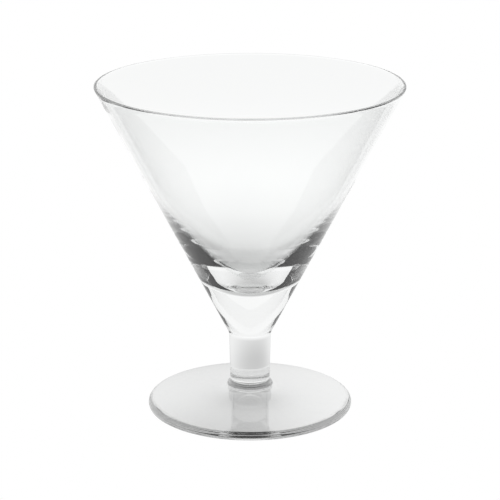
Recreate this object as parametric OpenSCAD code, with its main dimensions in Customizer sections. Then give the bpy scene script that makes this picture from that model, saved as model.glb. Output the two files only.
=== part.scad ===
// Short-stemmed martini glass, made of three gathers of clear glass fused end to end.
// Millimetres, +Z up. The origin is the centre of the circle on which the foot rests.
// Each piece is a solid of revolution: its outline is drawn in the (radius, height) plane.

/* [Overall] */
// Height from the table to the top of the lip
glass_h = 120.5; // [100:0.5:150]
// Diameter over the rim
rim_d = 110; // [88:0.5:135]

/* [Bowl] */
// Wall thickness at the rim, square to the wall
wall_t = 1; // [0.8:0.1:2.5]
// Solid glass between the neck joint and the bottom of the well
base_t = 19.6; // [14:0.2:26]
// Radius of the rounded bottom of the well
well_r = 19; // [12:0.25:20]
// Radius of the long curve that thickens the wall towards the base
swell_r = 150; // [120:1:220]

/* [Stem] */
// Height of the joint between stem and bowl
neck_z = 27; // [20:0.25:34]
// Diameter at the neck joint
neck_d = 15.2; // [12:0.1:19]
// Diameter just above the flare
stem_d = 14.4; // [11:0.1:18]
// Fillet between the neck and the bowl's cone
neck_fillet = 5; // [3:0.25:8]
// Radius of the flare between the column and its collar
flare_r = 1.7; // [1:0.1:3]
// How far the rounded collar stands out from the column
collar_w = 1.15; // [0.6:0.05:1.8]
// Radius of the collar's round rim
bead_r = 1.3; // [0.8:0.1:2]

/* [Foot] */
// Diameter of the foot
foot_d = 74.6; // [60:0.2:92]
// Thickness of the rounded edge
edge_t = 3.3; // [2.2:0.1:4.2]
// Height of the seat on which the stem is fused
seat_z = 7.4; // [6:0.1:10]
// Width of the flat ring that touches the table
ring_w = 1.6; // [1:0.1:6]
// Glass between the seat and the top of the hollow under the foot
web_t = 3.8; // [2.5:0.1:6]
// Radius of the rounded top of the hollow
dome_r = 65; // [30:1:90]

/* [Hidden] */
$fn = 180;
glass = [0.86, 0.91, 0.90, 0.45];

// Lip: a half circle that closes the wall
lip_r = wall_t / 2;
lip_c = [rim_d / 2 - lip_r, glass_h - lip_r];

// The cone's outer line touches the neck fillet on one side and the lip on the other
fillet_c = [neck_d / 2 + neck_fillet, neck_z];
cone_a = atan2(lip_c.x - fillet_c.x, lip_c.y - fillet_c.y) + asin((lip_r + neck_fillet) / norm(lip_c - fillet_c));
up = [sin(cone_a), cos(cone_a)];
inward = [-cos(cone_a), sin(cone_a)];
lip_out = lip_c - inward * lip_r;
lip_in = lip_c + inward * lip_r;
fillet_top = fillet_c + inward * neck_fillet;

// Well: the swell arc touches the inner line above and the rounded bottom below
well_z = neck_z + base_t;
well_c = [0, well_z + well_r];
swell_off = lip_in + inward * swell_r - well_c;
swell_along = swell_off * up;
swell_down = swell_along - sqrt(pow(swell_along, 2) - swell_off * swell_off + pow(swell_r - well_r, 2));
swell_top = lip_in - up * swell_down;
swell_c = swell_top + inward * swell_r;
swell_low = well_c + well_r * (well_c - swell_c) / norm(well_c - swell_c);

// Collar: its round rim tucks in by this angle below the level before it meets the foot
tuck_a = 45;
bead_c = [stem_d / 2 + collar_w - bead_r, seat_z + bead_r * sin(tuck_a)];
seat = bead_c + bead_r * [cos(tuck_a), -sin(tuck_a)];
flare_x = stem_d / 2 + flare_r;
flare_c = [flare_x, bead_c.y + sqrt(pow(flare_r + bead_r, 2) - pow(flare_x - bead_c.x, 2))];
bead_top = bead_c + (flare_c - bead_c) * bead_r / (flare_r + bead_r);

// Foot: the crown's straight slope runs from the seat down to the round edge and touches it
edge_r = edge_t / 2;
edge_c = [foot_d / 2 - edge_r, edge_r];
seat_off = seat - edge_c;
crown_a = atan2(seat_off.y, -seat_off.x) - asin(edge_r / norm(seat_off));
crown_low = edge_c + edge_r * [sin(crown_a), cos(crown_a)];

// Hollow under the foot: a cone inside the resting ring, which touches the rounded top
rest_r = edge_c.x - ring_w;
dome_c = [0, seat_z - web_t - dome_r];
rest_off = [rest_r, 0] - dome_c;
hollow_a = atan2(rest_off.x, rest_off.y) - acos(dome_r / norm(rest_off));
dome_top = dome_c + [0, dome_r];
dome_low = dome_c + dome_r * [sin(hollow_a), cos(hollow_a)];

// Cap of a circle between the chord p-q and its arc, on the side away from the centre c
module arc_cap(c, r, p, q) {
    out = ((p + q) / 2 - c) / norm((p + q) / 2 - c) * norm(p - q);
    intersection() {
        translate(c) circle(r = r);
        polygon([p, p + out, q + out, q]);
    }
}

// Cone with a thick solid base, a rounded well and a fire-polished lip
module bowl() {
    color(glass) rotate_extrude() difference() {
        union() {
            polygon([[0, neck_z], fillet_c, fillet_top, lip_out, lip_in, swell_top, swell_low, [0, well_z]]);
            translate(lip_c) circle(r = lip_r);
        }
        translate(fillet_c) circle(r = neck_fillet);
        arc_cap(swell_c, swell_r, swell_low, swell_top);
        arc_cap(well_c, well_r, [0, well_z], swell_low);
    }
}

// Solid tapered column that flares out to a small rounded collar on the foot
module stem() {
    color(glass) rotate_extrude() difference() {
        union() {
            polygon([[0, seat_z], seat, bead_top, flare_c, [stem_d / 2, flare_c.y], [neck_d / 2, neck_z], [0, neck_z]]);
            arc_cap(bead_c, bead_r, seat, bead_top);
        }
        translate(flare_c) circle(r = flare_r);
    }
}

// Disc with a sloping crown, a rounded edge and a domed hollow underneath
module foot() {
    color(glass) rotate_extrude() difference() {
        union() {
            polygon([[0, 0], [edge_c.x, 0], edge_c, crown_low, seat, [0, seat_z]]);
            translate(edge_c) circle(r = edge_r);
        }
        polygon([[0, 0], [rest_r, 0], dome_low, dome_top]);
        arc_cap(dome_c, dome_r, dome_top, dome_low);
    }
}

bowl();
stem();
foot();
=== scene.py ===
"""Looks of the short-stemmed martini glass: bowl, stem and foot of clear glass, a pale floor, soft light.

Metres, +Z up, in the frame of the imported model. The glass is a solid of revolution, so each piece is one
outline in the (radius, height) plane, turned about the Z axis.
"""
import math

import bpy
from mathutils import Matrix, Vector


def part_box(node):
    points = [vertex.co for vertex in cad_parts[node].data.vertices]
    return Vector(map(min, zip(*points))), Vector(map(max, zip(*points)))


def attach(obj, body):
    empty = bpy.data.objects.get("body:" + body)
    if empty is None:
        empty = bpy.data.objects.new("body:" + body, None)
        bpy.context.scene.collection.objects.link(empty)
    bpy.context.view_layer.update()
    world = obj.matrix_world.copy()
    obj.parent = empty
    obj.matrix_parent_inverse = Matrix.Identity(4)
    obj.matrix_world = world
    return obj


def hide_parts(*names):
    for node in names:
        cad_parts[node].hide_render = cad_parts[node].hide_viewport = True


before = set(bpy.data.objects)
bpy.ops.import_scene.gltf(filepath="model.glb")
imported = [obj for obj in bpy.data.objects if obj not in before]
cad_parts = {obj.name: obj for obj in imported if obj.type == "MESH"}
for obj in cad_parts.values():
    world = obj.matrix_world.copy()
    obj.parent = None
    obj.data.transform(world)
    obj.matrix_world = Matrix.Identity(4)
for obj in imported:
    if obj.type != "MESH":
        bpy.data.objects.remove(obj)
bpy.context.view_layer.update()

MM = 0.001

# Sizes read from the frame
bowl_low, bowl_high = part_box("bowl")
stem_low, stem_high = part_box("stem")
foot_low, foot_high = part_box("foot")
GLASS_H = bowl_high.z
RIM_R = bowl_high.x
NECK_Z = bowl_low.z
SEAT_Z = stem_low.z
FOOT_R = foot_high.x

# Sizes inside the pieces, as the design has them
WALL_T = 1.0 * MM
WELL_Z = NECK_Z + 19.6 * MM
WELL_R = 19 * MM
SWELL_R = 150 * MM
NECK_R = 7.6 * MM
STEM_R = 7.2 * MM
NECK_FILLET = 5 * MM
FLARE_R = 1.7 * MM
COLLAR_W = 1.15 * MM
BEAD_R = 1.3 * MM
TUCK = math.radians(45)
EDGE_R = 1.65 * MM
RING_W = 1.6 * MM
WEB_T = 3.8 * MM
DOME_R = 65 * MM

# Floor: half its side, how far it lies below the glass, the light that the glass gathers from it, and
# the soft shades painted into its glow, with their centre, radius and depth. The last one, below zero, is a
# painted pool of light.
FLOOR_HALF = 30
FLOOR_DROP = 0.05 * MM
FLOOR_LIGHT = 0.945
PAINTED_SHADES = (
    ((-0.01, 0.055, 0), 0.036, 0.24),
    ((-0.02, 0.060, 0), 0.095, 0.14),
    ((-0.01, -0.038, 0), 0.034, 0.30),
    ((0, 0, 0), 0.012, 0.25),
    ((0, 0.310, 0), 0.130, -0.11),
)

# Light from the room. A ray that has met the glass more than DEEP_HITS times finds only DEEP_LIGHT,
# which rises again to THIN_LIGHT between the two counts of THIN_HITS, reached only in thin glass.
ROOM_LIGHT = 0.97
DEEP_HITS = 4.5
DEEP_LIGHT = 0.03
THIN_HITS = (16, 36)
THIN_LIGHT = 0.70
MOST_HITS = 128

# Camera: place as multiples of the rim's radius, tilt below the horizon, lens and sensor in mm
CAMERA_BACK = 12.91
CAMERA_UP = 4.97
CAMERA_TILT = math.radians(16.78)
CAMERA_LENS = 148
CAMERA_SENSOR = 36
CAMERA_NEAR = 0.01
CAMERA_FAR = 200

# Clear soda-lime glass
GLASS_TINT = (0.985, 0.992, 0.989, 1)
GLASS_IOR = 1.51

# Unevenness of hand-worked glass: broad ripples, and cords that lie round the piece as it was turned
RIPPLE_SCALE = 25
RIPPLE_DEPTH = 0.08 * MM
CORD_SCALE = 9
CORD_STRETCH = (1, 1, 7)
CORD_DEPTH = 0.15 * MM
NOISE_DETAIL = 1.5

# Fineness of the meshes: steps round the axis, widest gap between rings, and the turn from ring to ring
# on long curves, on the collar and on small round edges. SAME is the distance within which points agree.
TURN_STEPS = 320
MAX_RING_GAP = 1.6 * MM
CURVE_TURN = math.radians(4)
BEAD_TURN = math.radians(6)
EDGE_TURN = math.radians(10)
SHARP_ANGLE = math.radians(30)
SAME = 0.001 * MM


# ---------------------------------------------------------------- outlines
def line(start, end, gap=MAX_RING_GAP):
    """Points from start to end, both included, no further apart than gap."""
    steps = max(1, math.ceil((end - start).length / gap))
    return [start.lerp(end, i / steps) for i in range(steps + 1)]


def arc(centre, start, end, turn=CURVE_TURN, gap=MAX_RING_GAP):
    """Points on the shorter arc about centre from start to end, both included."""
    radius = (start - centre).length
    first = math.atan2(start.y - centre.y, start.x - centre.x)
    sweep = math.atan2(end.y - centre.y, end.x - centre.x) - first
    sweep = math.remainder(sweep, 2 * math.pi)
    steps = max(2, math.ceil(abs(sweep) / min(turn, gap / radius)))
    angles = [first + sweep * i / steps for i in range(steps + 1)]
    return [centre + radius * Vector((math.cos(a), math.sin(a))) for a in angles]


def joined(*runs):
    """One outline from runs that meet end to end."""
    points = []
    for point in (p for run in runs for p in run):
        if not points or (point - points[-1]).length > SAME:
            points.append(point)
    return points


def bowl_outline():
    """From the bottom of the well, up the inside, over the lip, down the cone to the neck."""
    lip_r = WALL_T / 2
    lip = Vector((RIM_R - lip_r, GLASS_H - lip_r))
    fillet = Vector((NECK_R + NECK_FILLET, NECK_Z))
    across = lip - fillet
    lean = math.atan2(across.x, across.y) + math.asin((lip_r + NECK_FILLET) / across.length)
    up = Vector((math.sin(lean), math.cos(lean)))
    inward = Vector((-math.cos(lean), math.sin(lean)))
    lip_in = lip + inward * lip_r
    lip_out = lip - inward * lip_r
    well = Vector((0, WELL_Z + WELL_R))
    offset = lip_in + inward * SWELL_R - well
    along = offset.dot(up)
    reach = math.sqrt(along ** 2 - offset.length_squared + (SWELL_R - WELL_R) ** 2)
    swell_top = lip_in - up * (along - reach)
    swell = swell_top + inward * SWELL_R
    swell_low = well + WELL_R * (well - swell).normalized()
    return joined(
        arc(well, Vector((0, WELL_Z)), swell_low),
        arc(swell, swell_low, swell_top),
        line(swell_top, lip_in),
        arc(lip, lip_in, lip + up * lip_r, turn=EDGE_TURN),
        arc(lip, lip + up * lip_r, lip_out, turn=EDGE_TURN),
        line(lip_out, fillet + inward * NECK_FILLET),
        arc(fillet, fillet + inward * NECK_FILLET, Vector((NECK_R, NECK_Z))),
        [Vector((0, NECK_Z))],
    )


def collar():
    """Centres of the collar's round rim and of the flare above it, where they touch, and the seat's edge."""
    bead = Vector((STEM_R + COLLAR_W - BEAD_R, SEAT_Z + BEAD_R * math.sin(TUCK)))
    seat = bead + BEAD_R * Vector((math.cos(TUCK), -math.sin(TUCK)))
    across = STEM_R + FLARE_R - bead.x
    flare = bead + Vector((across, math.sqrt((FLARE_R + BEAD_R) ** 2 - across ** 2)))
    return bead, flare, bead.lerp(flare, BEAD_R / (FLARE_R + BEAD_R)), seat


def stem_outline():
    """From the neck down the column, out along the flare and round the collar to the seat."""
    bead, flare, bead_top, seat = collar()
    return joined(
        [Vector((0, NECK_Z))],
        line(Vector((NECK_R, NECK_Z)), Vector((STEM_R, flare.y))),
        arc(flare, Vector((STEM_R, flare.y)), bead_top),
        arc(bead, bead_top, seat, turn=BEAD_TURN),
        [Vector((0, SEAT_Z))],
    )


def foot_outline():
    """From the seat down the crown, round the edge and across the domed hollow underneath."""
    seat = collar()[-1]
    edge = Vector((FOOT_R - EDGE_R, EDGE_R))
    off = seat - edge
    slope = math.atan2(off.y, -off.x) - math.asin(EDGE_R / off.length)
    low = edge + EDGE_R * Vector((math.sin(slope), math.cos(slope)))
    rest = Vector((edge.x - RING_W, 0))
    dome = Vector((0, SEAT_Z - WEB_T - DOME_R))
    below = rest - dome
    hollow = math.atan2(below.x, below.y) - math.acos(DOME_R / below.length)
    dome_low = dome + DOME_R * Vector((math.sin(hollow), math.cos(hollow)))
    return joined(
        [Vector((0, SEAT_Z))],
        line(seat, low),
        arc(edge, low, Vector((FOOT_R, EDGE_R)), turn=EDGE_TURN),
        arc(edge, Vector((FOOT_R, EDGE_R)), Vector((edge.x, 0)), turn=EDGE_TURN),
        line(Vector((edge.x, 0)), rest),
        line(rest, dome_low),
        arc(dome, dome_low, Vector((0, dome.y + DOME_R))),
    )


# ---------------------------------------------------------------- meshes
def turned(name, outline, seams):
    """A closed mesh of outline turned about Z. Flat ends at a height in seams take the second material."""
    rings, verts = [], []
    for point in outline:
        if point.x < SAME:
            rings.append([len(verts)] * TURN_STEPS)
            verts.append((0, 0, point.y))
            continue
        rings.append(range(len(verts), len(verts) + TURN_STEPS))
        for i in range(TURN_STEPS):
            angle = 2 * math.pi * i / TURN_STEPS
            verts.append((point.x * math.cos(angle), point.x * math.sin(angle), point.y))
    faces, slots = [], []
    for (start, end), (here, there) in zip(zip(outline, outline[1:]), zip(rings, rings[1:])):
        seam = any(abs(start.y - z) < SAME and abs(end.y - z) < SAME for z in seams)
        for i in range(TURN_STEPS):
            j = (i + 1) % TURN_STEPS
            corners = dict.fromkeys((here[i], there[i], there[j], here[j]))
            faces.append(list(corners))
            slots.append(1 if seam else 0)
    mesh = bpy.data.meshes.new(name)
    mesh.from_pydata(verts, [], faces)
    mesh.polygons.foreach_set("material_index", slots)
    mesh.polygons.foreach_set("use_smooth", [True] * len(faces))
    mesh.set_sharp_from_angle(angle=SHARP_ANGLE)
    mesh.update()
    piece = bpy.data.objects.new(name, mesh)
    bpy.context.scene.collection.objects.link(piece)
    return piece


# ---------------------------------------------------------------- materials
def add(tree, kind, **settings):
    """A new node of a kind; settings are its properties."""
    node = tree.nodes.new(kind)
    for key, value in settings.items():
        setattr(node, key, value)
    return node


def calc(tree, operation, *values):
    """A maths node on sockets or numbers; gives its output socket."""
    node = add(tree, "ShaderNodeMath", operation=operation)
    for socket, value in zip(node.inputs, values):
        if isinstance(value, (int, float)):
            socket.default_value = value
        else:
            tree.links.new(value, socket)
    return node.outputs[0]


def clear_glass():
    """Polished soda-lime glass with the faint cords and ripples of hand-drawn gathers."""
    material = bpy.data.materials.new("clear_glass")
    material.use_nodes = True
    tree = material.node_tree
    shader = tree.nodes["Principled BSDF"]
    shader.inputs["Base Color"].default_value = GLASS_TINT
    shader.inputs["Transmission Weight"].default_value = 1
    shader.inputs["Roughness"].default_value = 0
    shader.inputs["IOR"].default_value = GLASS_IOR
    place = add(tree, "ShaderNodeTexCoord")
    stretch = add(tree, "ShaderNodeVectorMath", operation="MULTIPLY")
    stretch.inputs[1].default_value = CORD_STRETCH
    tree.links.new(place.outputs["Object"], stretch.inputs[0])
    normal = None
    for where, scale, depth in (
        (place.outputs["Object"], RIPPLE_SCALE, RIPPLE_DEPTH),
        (stretch.outputs["Vector"], CORD_SCALE, CORD_DEPTH),
    ):
        noise = add(tree, "ShaderNodeTexNoise")
        noise.inputs["Scale"].default_value = scale
        noise.inputs["Detail"].default_value = NOISE_DETAIL
        tree.links.new(where, noise.inputs["Vector"])
        bump = add(tree, "ShaderNodeBump")
        bump.inputs["Strength"].default_value = 1
        bump.inputs["Distance"].default_value = depth
        tree.links.new(noise.outputs["Fac"], bump.inputs["Height"])
        if normal is not None:
            tree.links.new(normal, bump.inputs["Normal"])
        normal = bump.outputs["Normal"]
    tree.links.new(normal, shader.inputs["Normal"])
    return material


def fused_seam():
    """The inside of a fused joint, where glass meets glass and nothing is seen."""
    material = bpy.data.materials.new("fused_seam")
    material.use_nodes = True
    tree = material.node_tree
    tree.nodes.remove(tree.nodes["Principled BSDF"])
    clear = add(tree, "ShaderNodeBsdfTransparent")
    tree.links.new(clear.outputs["BSDF"], tree.nodes["Material Output"].inputs["Surface"])
    return material


# ---------------------------------------------------------------- the glass
glass = clear_glass()
seam = fused_seam()
for name, outline, seams in (
    ("bowl", bowl_outline(), [NECK_Z]),
    ("stem", stem_outline(), [NECK_Z, SEAT_Z]),
    ("foot", foot_outline(), [SEAT_Z]),
):
    piece = turned(name + "_glass", outline, seams)
    piece.data.materials.append(glass)
    piece.data.materials.append(seam)
    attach(piece, "root")
    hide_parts(name)


# ---------------------------------------------------------------- floor, light, camera
def floor():
    """A pale table top. The camera sees it evenly white; the glass sees painted soft shades and a painted
    pool of light in its glow.
    """
    mesh = bpy.data.meshes.new("floor")
    half = FLOOR_HALF
    corners = [(-half, -half, 0), (half, -half, 0), (half, half, 0), (-half, half, 0)]
    mesh.from_pydata(corners, [], [(0, 1, 2, 3)])
    table = bpy.data.objects.new("floor", mesh)
    bpy.context.scene.collection.objects.link(table)
    table.location.z = -FLOOR_DROP
    material = bpy.data.materials.new("pale_floor")
    material.use_nodes = True
    tree = material.node_tree
    tree.nodes.clear()
    place = add(tree, "ShaderNodeNewGeometry")
    level = None
    # Painted shade: each spot darkens the glow by distance from its centre, and the one below zero brightens
    # it as a painted pool of light
    for centre, radius, depth in PAINTED_SHADES:
        apart = add(tree, "ShaderNodeVectorMath", operation="DISTANCE")
        apart.inputs[1].default_value = centre
        tree.links.new(place.outputs["Position"], apart.inputs[0])
        share = calc(tree, "DIVIDE", apart.outputs["Value"], radius)
        fall = calc(tree, "EXPONENT", calc(tree, "MULTIPLY", calc(tree, "MULTIPLY", share, share), -1.0))
        shade = calc(tree, "MULTIPLY", fall, depth)
        level = calc(tree, "SUBTRACT", FLOOR_LIGHT if level is None else level, shade)
    seen = add(tree, "ShaderNodeEmission")
    tree.links.new(level, seen.inputs["Strength"])
    white = add(tree, "ShaderNodeEmission")
    path = add(tree, "ShaderNodeLightPath")
    mix = add(tree, "ShaderNodeMixShader")
    out = add(tree, "ShaderNodeOutputMaterial")
    tree.links.new(path.outputs["Is Camera Ray"], mix.inputs[0])
    tree.links.new(seen.outputs[0], mix.inputs[1])
    tree.links.new(white.outputs[0], mix.inputs[2])
    tree.links.new(mix.outputs[0], out.inputs["Surface"])
    mesh.materials.append(material)


def surroundings():
    """A white room, in which a ray that has been round inside thick glass many times finds little light."""
    world = bpy.data.worlds.new("studio")
    bpy.context.scene.world = world
    world.use_nodes = True
    tree = world.node_tree
    tree.nodes.clear()
    path = add(tree, "ShaderNodeLightPath")
    hits = path.outputs["Ray Depth"]
    lost = calc(tree, "MULTIPLY", calc(tree, "GREATER_THAN", hits, DEEP_HITS), ROOM_LIGHT - DEEP_LIGHT)
    found = add(tree, "ShaderNodeMapRange")
    found.inputs["From Min"].default_value = THIN_HITS[0]
    found.inputs["From Max"].default_value = THIN_HITS[1]
    found.inputs["To Min"].default_value = 0
    found.inputs["To Max"].default_value = THIN_LIGHT - DEEP_LIGHT
    tree.links.new(hits, found.inputs["Value"])
    level = calc(tree, "ADD", calc(tree, "SUBTRACT", ROOM_LIGHT, lost), found.outputs["Result"])
    back = add(tree, "ShaderNodeBackground")
    tree.links.new(level, back.inputs["Strength"])
    back.inputs["Color"].default_value = (1, 1, 1, 1)
    white = add(tree, "ShaderNodeBackground")
    white.inputs["Color"].default_value = (1, 1, 1, 1)
    choose = add(tree, "ShaderNodeMixShader")
    out = add(tree, "ShaderNodeOutputWorld")
    tree.links.new(path.outputs["Is Camera Ray"], choose.inputs[0])
    tree.links.new(back.outputs[0], choose.inputs[1])
    tree.links.new(white.outputs[0], choose.inputs[2])
    tree.links.new(choose.outputs[0], out.inputs["Surface"])


def camera():
    """Long lens, a little above the rim, looking down by about seventeen degrees."""
    data = bpy.data.cameras.new("camera")
    viewer = bpy.data.objects.new("camera", data)
    bpy.context.scene.collection.objects.link(viewer)
    viewer.location = (0, -CAMERA_BACK * RIM_R, CAMERA_UP * RIM_R)
    viewer.rotation_euler = (math.pi / 2 - CAMERA_TILT, 0, 0)
    data.sensor_width = CAMERA_SENSOR
    data.lens = CAMERA_LENS
    data.clip_start = CAMERA_NEAR
    data.clip_end = CAMERA_FAR
    bpy.context.scene.camera = viewer


floor()
surroundings()
camera()

scene = bpy.context.scene
scene.view_settings.view_transform = "Standard"
scene.cycles.max_bounces = MOST_HITS
scene.cycles.transmission_bounces = MOST_HITS
scene.cycles.glossy_bounces = MOST_HITS
scene.cycles.transparent_max_bounces = MOST_HITS
